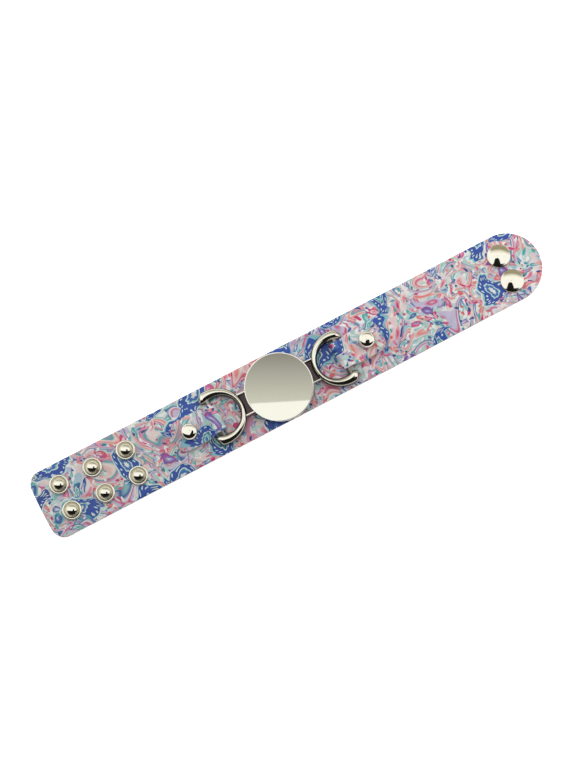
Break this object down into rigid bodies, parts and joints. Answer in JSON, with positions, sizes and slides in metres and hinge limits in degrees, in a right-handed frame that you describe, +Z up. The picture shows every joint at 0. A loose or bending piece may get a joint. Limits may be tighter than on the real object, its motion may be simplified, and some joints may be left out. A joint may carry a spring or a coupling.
{
  "type": "leather snap bracelet",
  "caption": "Wide printed leather strap with snaps, and a polished disc between horseshoe rings held by riveted tabs.",
  "frame": {"origin": "on the surface it lies on, under the middle of the strap", "axes": "+X along the strap to the round end with the caps, +Y across it to the far edge, +Z up from the surface"},
  "size_m": [0.235, 0.03, 0.0096],
  "materials": {
    "strap_leather": "coated leather printed all over in blues, pinks and mint, semi-gloss, pale cut edge, plain back",
    "tab_leather": "the strap's printed leather in a thinner split, folded double",
    "polished_alloy": "polished and nickel plated zinc casting",
    "nickel_rivet": "polished nickel plate",
    "nickel_snap": "pressed brass, nickel plated and bright",
    "nickel_back": "pressed and nickel plated, duller than the face side"
  },
  "bodies": {
    "root": {"strap": "strap_leather", "centrepiece": "polished_alloy", "tab_left": "tab_leather", "rivet_left": "nickel_rivet", "rivet_back_left": "nickel_back", "tab_right": "tab_leather", "rivet_right": "nickel_rivet", "rivet_back_right": "nickel_back", "cap_far": "nickel_snap", "socket_far": "nickel_back", "stud_far_1": "nickel_snap", "eyelet_far_1": "nickel_back", "stud_far_2": "nickel_snap", "eyelet_far_2": "nickel_back", "stud_far_3": "nickel_snap", "eyelet_far_3": "nickel_back", "cap_near": "nickel_snap", "socket_near": "nickel_back", "stud_near_1": "nickel_snap", "eyelet_near_1": "nickel_back", "stud_near_2": "nickel_snap", "eyelet_near_2": "nickel_back", "stud_near_3": "nickel_snap", "eyelet_near_3": "nickel_back"}
  },
  "joints": []
}
